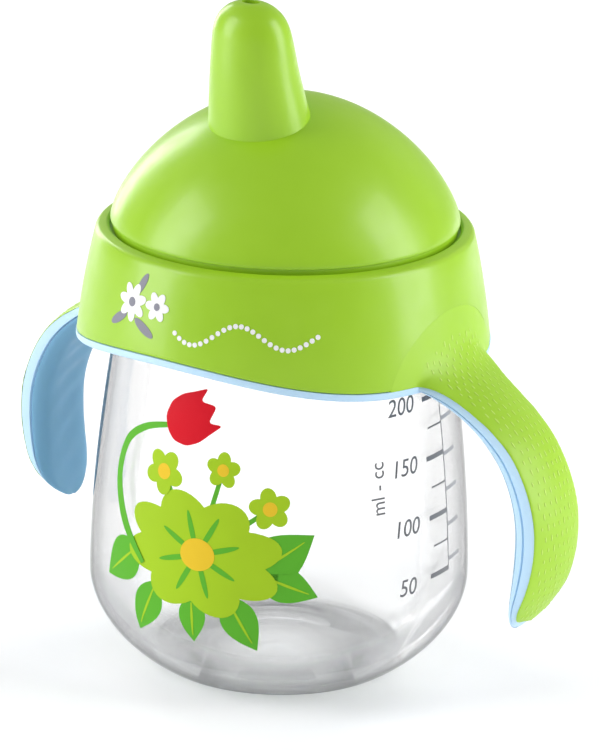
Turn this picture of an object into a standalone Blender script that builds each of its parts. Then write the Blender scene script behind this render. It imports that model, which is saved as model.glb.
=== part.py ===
"""Toddler's training cup: clear cup, domed spout lid, valve, seal and a screw collar with two wing handles.

The origin is the centre of the cup's flat base, +Z is up, the handles lie on the X axis and the
drinking side faces -Y. Dimensions below are in millimetres and are scaled to metres on output.
"""
import math

import bmesh
import bpy
from mathutils import Matrix

for existing in list(bpy.data.objects):
    bpy.data.objects.remove(existing, do_unlink=True)

MM = 0.001
SEGMENTS = 48
GAP = 0.3

# Clear cup.
BODY_R = 37.6
BASE_R = 25.1
HEEL_H = 17.7
HEEL_POWER = 1.87
BODY_TAPER = 4.8
TAPER_SPAN = 50.0
TAPER_POWER = 1.7
WALL = 1.6
FLOOR = 2.3
PUNT = 4.5
FOOT_INNER_R = 21.5
SHOULDER_Z = 68.0
NECK_R = 31.4
RIM_Z = 84.6

# Screw thread between the neck and the collar: three starts, right-handed.
LEAD = 12.0
STARTS = 3
LUG_HALF = 0.7
LUG_HEIGHT = 1.3
NECK_LUG_Z = 74.2
NECK_LUG_SPAN = 100.0
NECK_LUG_PHASE = 2.0
COLLAR_LUG_SPAN = 78.0

# Collar: outer wall radius as a quadratic of the distance below its top edge.
COLLAR_TOP = 88.3
COLLAR_R = 36.6
COLLAR_FLARE = 0.245
COLLAR_CURVE = 0.0032
SHELL_T = 1.5
SKIRT_T = 2.9
EDGE_FRONT = 71.2
EDGE_DROP = 4.9
BAND_H = 1.6
LINER_TOP = 85.0
LINER_R = 33.1

# Grip window in the collar, an ellipse seen along X.
WINDOW_Z = 60.0
WINDOW_HALF_Y = 18.8
WINDOW_HALF_Z = 18.8

# Lid.
DOME_R = 33.9
DOME_Z = 89.9
DOME_H = 24.3
DOME_POWER = 1.434
DOME_T = 1.9
FLANGE_R = 35.0
FLANGE_LOW = 86.1
FLANGE_TOP = 87.6
SOCKET_Y = -10.5
SOCKET_R = 7.6
SOCKET_BORE = 6.1
VENT_Y = 12.0
VENT_R = 3.6
VENT_BORE = 2.2
SOCKET_LOW = 97.0

# Spout stations: height, centre Y, half-width along X, half-width along Y.
SPOUT = (
    (100.0, -6.9, 12.0, 11.3),
    (104.0, -7.4, 11.3, 10.6),
    (108.0, -8.0, 10.7, 9.9),
    (114.0, -9.4, 9.8, 9.0),
    (121.0, -10.8, 8.8, 8.0),
    (127.0, -11.6, 8.1, 7.1),
    (130.1, -12.0, 7.5, 6.5),
    (132.2, -12.2, 6.5, 5.5),
    (133.7, -12.3, 5.0, 4.1),
    (134.5, -12.4, 3.5, 2.9),
    (134.8, -12.4, 2.5, 2.0),
)
CHANNEL = (
    (94.0, SOCKET_Y, SOCKET_BORE, SOCKET_BORE),
    (106.0, SOCKET_Y, SOCKET_BORE, SOCKET_BORE),
    (120.0, -11.0, 6.0, 5.4),
    (129.0, -12.0, 5.3, 4.4),
    (131.3, -12.3, 3.8, 3.0),
    (132.1, -12.4, 1.9, 1.3),
    (139.0, -12.4, 1.9, 1.3),
)
VENT = (
    (94.0, VENT_Y, VENT_BORE, VENT_BORE),
    (107.0, VENT_Y, VENT_BORE, VENT_BORE),
    (108.0, VENT_Y, 0.5, 0.5),
    (118.0, VENT_Y, 0.5, 0.5),
)

# Handle stations in the XZ plane: outer crown, parting line, inner face, then the half-width in Y.
HANDLE = (
    ((38.0, 75.0), (38.0, 66.15), (38.0, 65.0), 13.0),
    ((39.9, 71.6), (39.6, 66.15), (39.6, 63.7), 12.0),
    ((42.2, 68.1), (42.0, 65.60), (41.9, 61.9), 10.8),
    ((45.5, 65.6), (45.1, 64.15), (44.7, 59.9), 9.6),
    ((50.0, 63.2), (49.1, 61.90), (47.7, 57.5), 8.8),
    ((54.9, 59.8), (53.8, 58.80), (50.7, 54.3), 8.3),
    ((59.3, 55.5), (58.0, 54.70), (53.6, 50.2), 8.0),
    ((62.8, 49.4), (61.4, 48.90), (55.7, 45.4), 8.0),
    ((64.9, 42.6), (63.4, 42.40), (56.8, 40.4), 8.1),
    ((65.1, 35.4), (63.6, 35.40), (57.0, 34.6), 8.2),
    ((63.6, 28.4), (62.2, 28.65), (56.8, 28.2), 8.3),
    ((61.0, 23.0), (59.9, 23.60), (56.4, 22.2), 8.2),
    ((58.8, 19.8), (58.2, 20.50), (55.9, 17.8), 8.0),
)

# Handle centre lines in Y: the left one swings backwards by the shift below its root.
HANDLE_Y = 1.5
LEFT_SHIFT = 3.1
LEFT_SHIFT_END = 0.4
HANDLE_ROWS = 24
TIP_START = 0.84
ROOT_DEPTH = 4.0
GRIP_INSET = 0.2
INNER_INSET = 0.25


def material(name, colour, roughness, alpha=1.0):
    """Plastic finish with one colour and roughness."""
    mat = bpy.data.materials.new(name)
    mat.use_nodes = True
    shader = mat.node_tree.nodes["Principled BSDF"]
    shader.inputs["Base Color"].default_value = (*colour, 1.0)
    shader.inputs["Roughness"].default_value = roughness
    shader.inputs["Metallic"].default_value = 0.0
    shader.inputs["Alpha"].default_value = alpha
    mat.diffuse_color = (*colour, alpha)
    return mat


def add_object(name, bm, mat=None, smooth=True):
    """Turn a bmesh in millimetres into a named object in metres."""
    bmesh.ops.scale(bm, vec=(MM, MM, MM), verts=bm.verts)
    bmesh.ops.recalc_face_normals(bm, faces=bm.faces)
    for face in bm.faces:
        face.smooth = smooth
    mesh = bpy.data.meshes.new(name)
    bm.to_mesh(mesh)
    bm.free()
    obj = bpy.data.objects.new(name, mesh)
    bpy.context.scene.collection.objects.link(obj)
    if mat is not None:
        mesh.materials.append(mat)
    return obj


def as_tool(obj):
    """Mark an object as a Boolean operand only."""
    obj.hide_render = True
    obj.display_type = "WIRE"
    return obj


def boolean(obj, operation, tool):
    """Stack one exact Boolean on an object."""
    mod = obj.modifiers.new(f"{operation.lower()} {tool.name}", "BOOLEAN")
    mod.operation = operation
    mod.solver = "EXACT"
    mod.object = tool


def lathe(name, profile, mat=None, steps=SEGMENTS):
    """Revolve an open profile about Z; it runs from the top down the outer side to the bottom."""
    bm = bmesh.new()
    verts = [bm.verts.new((r, 0.0, z)) for r, z in profile]
    for first, second in zip(verts, verts[1:]):
        bm.edges.new((first, second))
    if profile[0][0] > 0.0:
        bm.edges.new((verts[-1], verts[0]))
    obj = add_object(name, bm, mat)
    mod = obj.modifiers.new("revolve", "SCREW")
    mod.angle = math.tau
    mod.steps = steps
    mod.render_steps = steps
    mod.use_merge_vertices = True
    mod.merge_threshold = 0.00001
    mod.use_smooth_shade = True
    return obj


def ring(name, section, mat=None, steps=SEGMENTS):
    """Sweep a closed section that depends on the angle once around Z."""
    bm = bmesh.new()
    loops = []
    for step in range(steps):
        angle = math.tau * step / steps
        cos_a = math.cos(angle)
        sin_a = math.sin(angle)
        loops.append([bm.verts.new((r * cos_a, r * sin_a, z)) for r, z in section(angle)])
    bridge(bm, loops, closed=True)
    return add_object(name, bm, mat)


def bridge(bm, loops, closed=False):
    """Join successive closed vertex loops with quads and cap the two ends of an open chain."""
    pairs = list(zip(loops, loops[1:]))
    if closed:
        pairs.append((loops[-1], loops[0]))
    for first, second in pairs:
        count = len(first)
        for i in range(count):
            j = (i + 1) % count
            bm.faces.new((first[i], first[j], second[j], second[i]))
    if not closed:
        bm.faces.new(loops[0])
        bm.faces.new(loops[-1])


def loft(name, stations, mat=None, sides=32):
    """Solid through stacked ellipses given as height, centre Y, half-width X and half-width Y."""
    bm = bmesh.new()
    loops = []
    for z, centre, half_x, half_y in stations:
        loop = []
        for side in range(sides):
            angle = math.tau * side / sides
            loop.append(bm.verts.new((half_x * math.cos(angle), centre + half_y * math.sin(angle), z)))
        loops.append(loop)
    bridge(bm, loops)
    return add_object(name, bm, mat)


def cylinder(name, radius, low, high, centre_y=0.0, sides=32):
    """Upright solid cylinder."""
    return loft(name, ((low, centre_y, radius, radius), (high, centre_y, radius, radius)), sides=sides)


def body_outer(z):
    """Outer radius of the clear cup below its shoulder."""
    if z < HEEL_H:
        k = 1.0 - z / HEEL_H
        rim = 1.0 - (BASE_R / BODY_R) ** HEEL_POWER
        return BODY_R * (1.0 - rim * k ** HEEL_POWER) ** (1.0 / HEEL_POWER)
    return BODY_R - BODY_TAPER * ((z - HEEL_H) / TAPER_SPAN) ** TAPER_POWER


def punt_height(r):
    """Height of the pushed-up centre of the cup's underside."""
    return 0.5 * PUNT * (1.0 + math.cos(math.pi * min(r / FOOT_INNER_R, 1.0)))


def collar_outer(z):
    """Outer radius of the collar wall."""
    depth = COLLAR_TOP - z
    return COLLAR_R + COLLAR_FLARE * depth - COLLAR_CURVE * depth * depth


def edge_height(angle):
    """Height of the green lower edge: high at the front and back, low under the handles."""
    side = min(1.0, math.cos(angle) ** 2 / 0.85)
    return EDGE_FRONT - EDGE_DROP * (1.0 - (1.0 - side) ** 1.5)


def helix_lugs(name, root_r, tip_r, start_z, span, phase):
    """Three equal right-handed thread lugs with a trapezoid section."""
    bm = bmesh.new()
    steps = 14
    for start in range(STARTS):
        loops = []
        for step in range(steps + 1):
            turn = span * step / steps
            angle = math.radians(phase + start * 360.0 / STARTS + turn)
            z = start_z + LEAD * turn / 360.0
            corners = (
                (root_r, z - LUG_HALF - 0.15),
                (tip_r, z - LUG_HALF + 0.15),
                (tip_r, z + LUG_HALF - 0.15),
                (root_r, z + LUG_HALF + 0.15),
            )
            loops.append([bm.verts.new((r * math.cos(angle), r * math.sin(angle), h)) for r, h in corners])
        bridge(bm, loops)
    return add_object(name, bm)


def build_cup(mat):
    """Clear cup with a rounded heel, a shallow punt and a threaded neck."""
    profile = [(r, punt_height(r) + FLOOR) for r in (0.0, 7.0, 13.0, 17.5, FOOT_INNER_R)]
    for z in (3.4, 5.2, 8.5, 12.5, 17.7, 27.0, 40.0, 52.0, 62.0):
        profile.append((body_outer(z) - WALL if z > 9.0 else body_outer(z - 1.0) - WALL, z))
    profile.append((NECK_R - WALL, 70.5))
    profile.append((NECK_R - WALL, RIM_Z - 0.3))
    profile.append((NECK_R - WALL + 0.3, RIM_Z))
    profile.append((NECK_R - 0.3, RIM_Z))
    profile.append((NECK_R, RIM_Z - 0.3))
    profile.append((NECK_R, 70.2))
    profile.append((body_outer(SHOULDER_Z) - 0.3, SHOULDER_Z + 0.6))
    for z in (SHOULDER_Z, 60.0, 50.0, 39.0, 28.0, 17.7, 12.0, 7.6, 4.4, 2.2, 0.8):
        profile.append((body_outer(z), z))
    profile.append((BASE_R - 0.4, 0.0))
    profile += [(r, punt_height(r)) for r in (FOOT_INNER_R, 17.5, 13.0, 7.0, 0.0)]
    cup = lathe("cup_body", profile, mat)
    tip_r = NECK_R + LUG_HEIGHT
    lugs = helix_lugs("neck_lugs", NECK_R - 0.7, tip_r, NECK_LUG_Z, NECK_LUG_SPAN, NECK_LUG_PHASE)
    boolean(cup, "UNION", as_tool(lugs))


def dome_profile(radius, base, height, count):
    """Points from the crown down to the edge of the lid's dome."""
    points = []
    for i in range(count + 1):
        turn = 0.5 * math.pi * i / count
        points.append((radius * math.sin(turn), base + height * math.cos(turn) ** DOME_POWER))
    points[0] = (0.0, base + height)
    points[-1] = (radius, base)
    return points


def build_lid(mat):
    """Domed lid with a leaning spout, a clamping flange, a valve socket and an air socket."""
    profile = dome_profile(DOME_R, DOME_Z, DOME_H, 10)
    profile.append((DOME_R - 0.06, DOME_Z - 0.4))
    profile.append((DOME_R - 0.45, DOME_Z - 0.5))
    profile.append((DOME_R - 0.45, FLANGE_TOP))
    profile.append((FLANGE_R, FLANGE_TOP))
    profile.append((FLANGE_R, FLANGE_LOW))
    profile.append((0.0, FLANGE_LOW))
    lid = lathe("lid_dome", profile, mat)
    boolean(lid, "UNION", as_tool(loft("spout_solid", SPOUT)))

    hollow = dome_profile(DOME_R - DOME_T, DOME_Z - 0.3, DOME_H - DOME_T + 0.3, 8)
    hollow.append((DOME_R - DOME_T - 0.4, FLANGE_TOP + 1.0))
    hollow.append((29.4, FLANGE_TOP - 0.2))
    hollow.append((29.4, FLANGE_LOW - 4.0))
    hollow.append((0.0, FLANGE_LOW - 4.0))
    cavity = as_tool(lathe("lid_cavity", hollow))
    boolean(cavity, "DIFFERENCE", as_tool(cylinder("socket_wall", SOCKET_R, SOCKET_LOW, 122.0, SOCKET_Y)))
    boolean(cavity, "DIFFERENCE", as_tool(cylinder("vent_wall", VENT_R, SOCKET_LOW, 122.0, VENT_Y, 28)))
    boolean(lid, "DIFFERENCE", cavity)
    boolean(lid, "DIFFERENCE", as_tool(loft("spout_channel", CHANNEL)))
    boolean(lid, "DIFFERENCE", as_tool(loft("vent_channel", VENT, sides=24)))


def build_seal(mat):
    """Soft sealing ring with an L section, pressed between the lid's flange and the cup's rim."""
    low = RIM_Z + GAP
    top = FLANGE_LOW - GAP
    profile = (
        (29.05, FLANGE_TOP - 0.2),
        (29.05, top),
        (32.5, top),
        (32.7, top - 0.2),
        (32.7, low + 0.2),
        (32.5, low),
        (28.3, low),
        (28.0, low + 0.3),
        (28.0, FLANGE_TOP - 0.5),
        (28.3, FLANGE_TOP - 0.2),
    )
    lathe("lid_seal_ring", profile, mat)


def stadium(name, sizes, mat=None, sides=18):
    """Upright slab around the two valve axes, from (height, spout-side radius, vent-side radius) rows."""
    bm = bmesh.new()
    loops = []
    for z, front_r, back_r in sizes:
        loop = []
        for side in range(sides + 1):
            angle = math.pi + math.pi * side / sides
            loop.append(bm.verts.new((front_r * math.cos(angle), SOCKET_Y + front_r * math.sin(angle), z)))
        for side in range(sides + 1):
            angle = math.pi * side / sides
            loop.append(bm.verts.new((back_r * math.cos(angle), VENT_Y + back_r * math.sin(angle), z)))
        loops.append(loop)
    bridge(bm, loops)
    return add_object(name, bm, mat)


def build_valve(base_mat, membrane_mat):
    """Hard valve carrier that plugs into the lid's sockets, and the soft membrane clipped under it."""
    plate_low = 90.0
    carrier = stadium("valve_base", ((plate_low, 9.6, 6.4), (95.2, 9.6, 6.4), (95.6, 9.2, 6.0)), base_mat)
    recess = as_tool(stadium("valve_recess", ((88.0, 8.4, 5.2), (93.4, 8.4, 5.2))))
    boolean(carrier, "DIFFERENCE", recess)
    spigot = as_tool(cylinder("spout_spigot", SOCKET_BORE - 0.4, 94.5, 102.0, SOCKET_Y, 28))
    boolean(carrier, "UNION", spigot)
    pin = as_tool(cylinder("vent_spigot", VENT_BORE - 0.4, 94.5, 102.0, VENT_Y, 20))
    boolean(carrier, "UNION", pin)
    boolean(carrier, "DIFFERENCE", as_tool(cylinder("spout_bore", 4.4, 90.0, 106.0, SOCKET_Y, 28)))
    boolean(carrier, "DIFFERENCE", as_tool(cylinder("vent_bore", 0.9, 90.0, 106.0, VENT_Y, 20)))

    rim = ((91.6, 7.9, 4.7), (91.8, 8.1, 4.9), (93.1, 8.1, 4.9))
    membrane = stadium("valve_membrane", rim, membrane_mat)
    flap = ((88.6, SOCKET_Y, 1.2, 4.4), (89.4, SOCKET_Y, 3.2, 5.6), (92.2, SOCKET_Y, 6.0, 6.0))
    boolean(membrane, "UNION", as_tool(loft("drink_flap", flap, sides=28)))
    flap_hollow = ((89.5, SOCKET_Y, 0.7, 3.6), (90.2, SOCKET_Y, 2.3, 4.7), (93.6, SOCKET_Y, 4.9, 4.9))
    boolean(membrane, "DIFFERENCE", as_tool(loft("drink_hollow", flap_hollow, sides=28)))
    slit = ((88.0, SOCKET_Y, 0.15, 3.0), (91.0, SOCKET_Y, 0.15, 3.0))
    boolean(membrane, "DIFFERENCE", as_tool(loft("drink_slit", slit, sides=24)))
    air_hole = as_tool(cylinder("air_hole", 0.5, 90.0, 95.0, VENT_Y, 16))
    boolean(membrane, "DIFFERENCE", air_hole)


def shell_section(angle):
    """Green collar wall with the inward lip that clamps the lid."""
    edge = edge_height(angle)
    top = COLLAR_TOP - 0.9
    points = [(34.05, 88.4), (34.6, 88.75), (35.4, 88.65), (36.1, 88.25), (36.55, 87.85)]
    heights = [top + (edge + 0.15 - top) * i / 7 for i in range(8)]
    points += [(collar_outer(z), z) for z in heights]
    points.append((collar_outer(edge) - 0.2, edge))
    points.append((collar_outer(edge) - SHELL_T, edge))
    for i in (1, 3, 5):
        z = edge + (86.5 - edge) * i / 6
        points.append((collar_outer(z) - SHELL_T, z))
    points.append((35.4, 86.8))
    points.append((35.4, FLANGE_TOP + GAP))
    points.append((34.05, FLANGE_TOP + GAP))
    return points


def liner_section(angle):
    """Blue collar liner: threaded inner ring, outer skirt and the visible band under the shell."""
    edge = edge_height(angle)
    band_top = edge - GAP
    low = edge - BAND_H
    points = []
    for i in range(5):
        z = LINER_TOP + (band_top - LINER_TOP) * i / 4
        points.append((collar_outer(z) - SHELL_T - GAP, z))
    points.append((collar_outer(band_top) - 0.1, band_top))
    points.append((collar_outer(low) - 0.05, low + 0.55))
    points.append((collar_outer(low) - 0.45, low + 0.1))
    points.append((collar_outer(low) - 1.2, low))
    points.append((collar_outer(low) - SKIRT_T + 0.4, low + 0.1))
    points.append((collar_outer(low) - SKIRT_T, low + 0.5))
    points.append((collar_outer(74.4) - SKIRT_T - 0.3, 74.4))
    points.append((35.2, 74.4))
    points.append((LINER_R, 73.6))
    points.append((LINER_R, LINER_TOP - 0.4))
    points.append((LINER_R + 0.4, LINER_TOP))
    return points


def smooth_value(values, t):
    """Catmull-Rom value through equally spaced samples."""
    last = len(values) - 1
    place = t * last
    i = min(int(place), last - 1)
    u = place - i
    a = values[max(i - 1, 0)]
    b = values[i]
    c = values[i + 1]
    d = values[min(i + 2, last)]
    return b + 0.5 * u * (c - a + u * (2.0 * a - 5.0 * b + 4.0 * c - d + u * (3.0 * (b - c) + d - a)))


def handle_station(t):
    """Crown, parting line, inner face and half-width of a handle at t from 0 (root) to 1 (tip)."""
    columns = []
    for item in range(3):
        for axis in range(2):
            columns.append(smooth_value([row[item][axis] for row in HANDLE], t))
    half = smooth_value([row[3] for row in HANDLE], t)
    if t > TIP_START:
        half *= math.sqrt(1.0 - 0.94 * ((t - TIP_START) / (1.0 - TIP_START)) ** 2)
    return columns[0:2], columns[2:4], columns[4:6], half


def handle_y(t, side):
    """Centre line of a handle in Y: the left one swings a little backwards below its root."""
    if side > 0.0:
        return HANDLE_Y
    k = min(t / LEFT_SHIFT_END, 1.0)
    return HANDLE_Y + LEFT_SHIFT * k * k * (3.0 - 2.0 * k)


def towards(start, end, distance):
    """Point a fixed distance from start in the direction of end."""
    length = math.hypot(end[0] - start[0], end[1] - start[1])
    k = distance / length
    return start[0] + (end[0] - start[0]) * k, start[1] + (end[1] - start[1]) * k


def grip_loop(t, side):
    """Section of the green outer half: flat at the parting line, crowned outside."""
    crown, parting, _, half = handle_station(t)
    base = towards(parting, crown, GRIP_INSET)
    loop = []
    count = 12
    for i in range(count + 1):
        across = math.cos(math.pi * i / count)
        lift = 0.06 + 0.94 * (1.0 - across * across)
        x = base[0] + (crown[0] - base[0]) * lift
        z = base[1] + (crown[1] - base[1]) * lift
        loop.append((side * x, handle_y(t, side) + 0.96 * half * across, z))
    loop.append((side * base[0], handle_y(t, side) - half, base[1]))
    loop.append((side * base[0], handle_y(t, side) + half, base[1]))
    return loop


def inner_loop(t, side):
    """Section of the blue inner half: side face, chamfer and a slightly hollow inner face."""
    _, parting, inner, half = handle_station(t)
    base = towards(parting, inner, INNER_INSET)
    rows = ((0.0, 1.0), (0.38, 0.995), (0.80, 0.87), (0.95, 0.68), (0.98, 0.48), (0.91, 0.22))
    half_loop = []
    for depth, width in rows:
        x = base[0] + (inner[0] - base[0]) * depth
        z = base[1] + (inner[1] - base[1]) * depth
        half_loop.append((x, half * width, z))
    middle = (base[0] + (inner[0] - base[0]) * 0.88, 0.0, base[1] + (inner[1] - base[1]) * 0.88)
    loop = half_loop + [middle] + [(x, -y, z) for x, y, z in reversed(half_loop)]
    return [(side * x, handle_y(t, side) + y, z) for x, y, z in loop]


def sweep(name, section, side, root_depth=0.0):
    """Loft a handle half from its root to its tip, with its root run straight inwards if asked."""
    bm = bmesh.new()
    loops = []
    if root_depth > 0.0:
        loops.append([bm.verts.new((x - side * root_depth, y, z)) for x, y, z in section(0.0, side)])
    for row in range(HANDLE_ROWS + 1):
        t = 1.0 - (1.0 - row / HANDLE_ROWS) ** 1.4
        loops.append([bm.verts.new(point) for point in section(t, side)])
    bridge(bm, loops)
    return add_object(name, bm)


def window(name, side, clearance):
    """Elliptic prism along X that outlines the grip patch on the collar."""
    bm = bmesh.new()
    frame = Matrix.Translation((side * 37.0, HANDLE_Y, WINDOW_Z)) @ Matrix.Rotation(math.pi / 2, 4, "Y")
    bmesh.ops.create_cone(
        bm, cap_ends=True, segments=56, radius1=1.0, radius2=1.0, depth=24.0, matrix=frame
    )
    for vert in bm.verts:
        vert.co.y = HANDLE_Y + (vert.co.y - HANDLE_Y) * (WINDOW_HALF_Y + clearance)
        vert.co.z = WINDOW_Z + (vert.co.z - WINDOW_Z) * (WINDOW_HALF_Z + clearance)
    return as_tool(add_object(name, bm))


def build_collar(green, blue, grip):
    """Shell, liner and the two soft grips that turn together on the cup's thread."""
    shell = ring("collar_shell", shell_section, green)
    liner = ring("collar_liner", liner_section, blue)
    half_pitch = 0.5 * LEAD / STARTS
    turned = 0.5 * (NECK_LUG_SPAN - COLLAR_LUG_SPAN)
    start_z = NECK_LUG_Z + LEAD * turned / 360.0 + half_pitch
    phase = NECK_LUG_PHASE + turned
    lugs = helix_lugs("collar_lugs", LINER_R + 0.6, LINER_R - LUG_HEIGHT, start_z, COLLAR_LUG_SPAN, phase)
    boolean(liner, "UNION", as_tool(lugs))

    core_profile = [(0.0, 82.0)]
    core_profile += [(collar_outer(z) - SHELL_T, z) for z in (82.0, 78.0, 74.0, 70.0, 66.0, 62.0)]
    core_profile.append((0.0, 62.0))
    core = as_tool(lathe("grip_core", core_profile))

    for side, label in ((1.0, "right"), (-1.0, "left")):
        boolean(shell, "DIFFERENCE", window(f"{label}_window", side, 0.5 * GAP))
        patch = as_tool(ring(f"{label}_patch", shell_section))
        boolean(patch, "INTERSECT", window(f"{label}_patch_outline", side, -0.5 * GAP))
        handle = sweep(f"{label}_grip", grip_loop, side, ROOT_DEPTH)
        handle.data.materials.append(grip)
        boolean(handle, "DIFFERENCE", core)
        boolean(handle, "UNION", patch)
        inner = as_tool(sweep(f"{label}_handle_inner", inner_loop, side))
        boolean(liner, "UNION", inner)


clear_plastic = material("clear_plastic", (0.92, 0.95, 0.97), 0.05, alpha=0.3)
green_plastic = material("green_plastic", (0.34, 0.62, 0.05), 0.3)
grip_green = material("grip_green", (0.38, 0.66, 0.07), 0.5)
blue_plastic = material("blue_plastic", (0.36, 0.60, 0.84), 0.45)
seal_silicone = material("seal_silicone", (0.85, 0.88, 0.9), 0.5)
valve_plastic = material("valve_plastic", (0.9, 0.92, 0.93), 0.35)
valve_silicone = material("valve_silicone", (0.75, 0.85, 0.92), 0.5)

build_cup(clear_plastic)
build_lid(green_plastic)
build_seal(seal_silicone)
build_valve(valve_plastic, valve_silicone)
build_collar(green_plastic, blue_plastic, grip_green)
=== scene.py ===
import math

import bmesh
import bpy
from mathutils import Matrix, Vector
from mathutils.bvhtree import BVHTree


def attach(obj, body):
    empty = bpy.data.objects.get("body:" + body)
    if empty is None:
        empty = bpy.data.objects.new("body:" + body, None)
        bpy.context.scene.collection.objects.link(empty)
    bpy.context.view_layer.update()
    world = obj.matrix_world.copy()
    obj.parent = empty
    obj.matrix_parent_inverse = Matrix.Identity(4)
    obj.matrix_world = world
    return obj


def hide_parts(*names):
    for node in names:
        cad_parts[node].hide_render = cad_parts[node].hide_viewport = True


# Looks of a training cup: fine surfaces, prints, materials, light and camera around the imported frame.
# Lengths are millimetres in the frame's axes: Z up, handles along X, drinking side towards -Y.

MM = 0.001
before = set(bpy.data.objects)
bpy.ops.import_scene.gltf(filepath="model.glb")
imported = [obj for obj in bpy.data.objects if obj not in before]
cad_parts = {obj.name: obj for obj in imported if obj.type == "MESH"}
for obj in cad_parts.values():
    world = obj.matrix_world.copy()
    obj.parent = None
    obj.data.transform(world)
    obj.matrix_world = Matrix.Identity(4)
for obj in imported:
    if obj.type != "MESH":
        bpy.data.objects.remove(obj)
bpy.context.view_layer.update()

# Clear cup.
BODY_R = 37.6
BASE_R = 25.1
HEEL_H = 17.7
HEEL_POWER = 1.87
BODY_TAPER = 4.8
TAPER_SPAN = 50.0
TAPER_POWER = 1.7
WALL = 1.2
FLOOR = 2.3
PUNT = 4.5
FOOT_INNER_R = 21.5
SHOULDER_Z = 68.0
NECK_R = 31.4
RIM_Z = 84.6
LEAD = 12.0
STARTS = 3
LUG_HALF = 0.7
LUG_HEIGHT = 1.3
NECK_LUG_Z = 74.2
NECK_LUG_SPAN = 100.0
LUG_PHASE = 2.0
COLLAR_LUG_SPAN = 78.0

# Collar.
COLLAR_TOP = 88.3
COLLAR_R = 36.57
COLLAR_FLARE = 0.245
COLLAR_CURVE = 0.0032
SHELL_T = 1.5
SKIRT_T = 2.9
EDGE_FRONT = 71.2
EDGE_DROP = 4.9
BAND_H = 1.6
LINER_TOP = 85.0
LINER_R = 33.1
WINDOW_Z = 60.0
WINDOW_HALF_Y = 18.8
WINDOW_HALF_Z = 18.8
SEAM = 0.01  # how far the grip's patch and its window each stand back from their shared outline

# Lid.
DOME_R = 33.9
DOME_Z = 89.9
DOME_H = 24.3
DOME_POWER = 1.434
DOME_T = 1.9
FLANGE_R = 35.0
FLANGE_LOW = 86.1
FLANGE_TOP = 87.6
SOCKET_Y = -10.5
SOCKET_R = 7.6
SOCKET_BORE = 6.1
VENT_Y = 12.0
VENT_R = 3.6
VENT_BORE = 2.2
SOCKET_LOW = 97.0

# Spout stations: height, centre Y, half-width along X, half-width along Y.
SPOUT = (
    (100.0, -6.9, 12.0, 11.3),
    (104.0, -7.4, 11.3, 10.6),
    (108.0, -8.0, 10.7, 9.9),
    (114.0, -9.4, 9.8, 9.0),
    (121.0, -10.8, 8.8, 8.0),
    (127.0, -11.6, 8.1, 7.1),
    (130.1, -12.0, 7.5, 6.5),
    (132.2, -12.2, 6.5, 5.5),
    (133.7, -12.3, 5.0, 4.1),
    (134.5, -12.4, 3.5, 2.9),
    (134.8, -12.4, 2.5, 2.0),
)
CHANNEL = (
    (94.0, SOCKET_Y, SOCKET_BORE, SOCKET_BORE),
    (106.0, SOCKET_Y, SOCKET_BORE, SOCKET_BORE),
    (120.0, -11.0, 6.0, 5.4),
    (129.0, -12.0, 5.3, 4.4),
    (131.3, -12.3, 3.8, 3.0),
    (132.1, -12.4, 1.9, 1.3),
    (139.0, -12.4, 1.9, 1.3),
)
VENT = (
    (94.0, VENT_Y, VENT_BORE, VENT_BORE),
    (107.0, VENT_Y, VENT_BORE, VENT_BORE),
    (108.0, VENT_Y, 0.5, 0.5),
    (118.0, VENT_Y, 0.5, 0.5),
)

# Handle stations in the XZ plane: outer crown, parting line, inner face, then the half-width in Y.
HANDLE = (
    ((38.0, 75.0), (38.0, 66.15), (38.0, 65.0), 13.0),
    ((39.9, 71.6), (39.6, 66.15), (39.6, 63.7), 12.0),
    ((42.2, 68.1), (42.0, 65.60), (41.9, 61.9), 10.8),
    ((45.5, 65.6), (45.1, 64.15), (44.7, 59.9), 9.6),
    ((50.0, 63.2), (49.1, 61.90), (47.7, 57.5), 8.8),
    ((54.9, 59.8), (53.8, 58.80), (50.7, 54.3), 8.3),
    ((59.3, 55.5), (58.0, 54.70), (53.6, 50.2), 8.0),
    ((62.8, 49.4), (61.4, 48.90), (55.7, 45.4), 8.0),
    ((64.9, 42.6), (63.4, 42.40), (56.8, 40.4), 8.1),
    ((65.1, 35.4), (63.6, 35.40), (57.0, 34.6), 8.2),
    ((63.6, 28.4), (62.2, 28.65), (56.8, 28.2), 8.3),
    ((61.0, 23.0), (59.9, 23.60), (56.4, 22.2), 8.2),
    ((58.8, 19.8), (58.2, 20.50), (55.9, 17.8), 8.0),
)
# Handle centre lines in Y: the left one swings backwards by the shift below its root.
HANDLE_Y = 1.5
LEFT_SHIFT = 3.1
LEFT_SHIFT_END = 0.4
HANDLE_ROWS = 110
SECTION_FACES = 36
PAINTED_SHADE_START = {1.0: 9, -1.0: 5}  # first face of the painted shade, a darker blue on the inner half, around a section, by side
TIP_START = 0.84
ROOT_DEPTH = 4.0
GRIP_INSET = 0.04
INNER_INSET = 0.04
GRIP_EDGE_LIFT = 0.06
GRIP_CROWN_LIFT = 0.82
GRIP_WIDTH = 0.97
GRIP_BASE_WIDTH = 0.975
SPARE = 3.0

# Inner half of a handle: share of the depth from parting line to inner face, then share of the half-width.
# The dip at a depth of 0.36 is the fine crease between its two strips.
INNER_ROWS = (
    (0.0, 0.94), (0.10, 0.955), (0.24, 0.965), (0.32, 0.96), (0.355, 0.885), (0.375, 0.88), (0.40, 0.945),
    (0.46, 0.94), (0.56, 0.90), (0.66, 0.84), (0.75, 0.77), (0.82, 0.70), (0.87, 0.62),
    (0.90, 0.54), (0.925, 0.44), (0.94, 0.33), (0.945, 0.22), (0.948, 0.11), (0.95, 0.0),
)
FACE_START = 0.46
FACE_FADE = 0.25
HOLLOW_DEPTH = 0.10
HOLLOW_WIDTH = 0.72
RIB_HEIGHT = 0.022
RIB_WIDTH = 0.68
RIB_COUNT = 11.0
RIB_SLANT = 0.75

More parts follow.
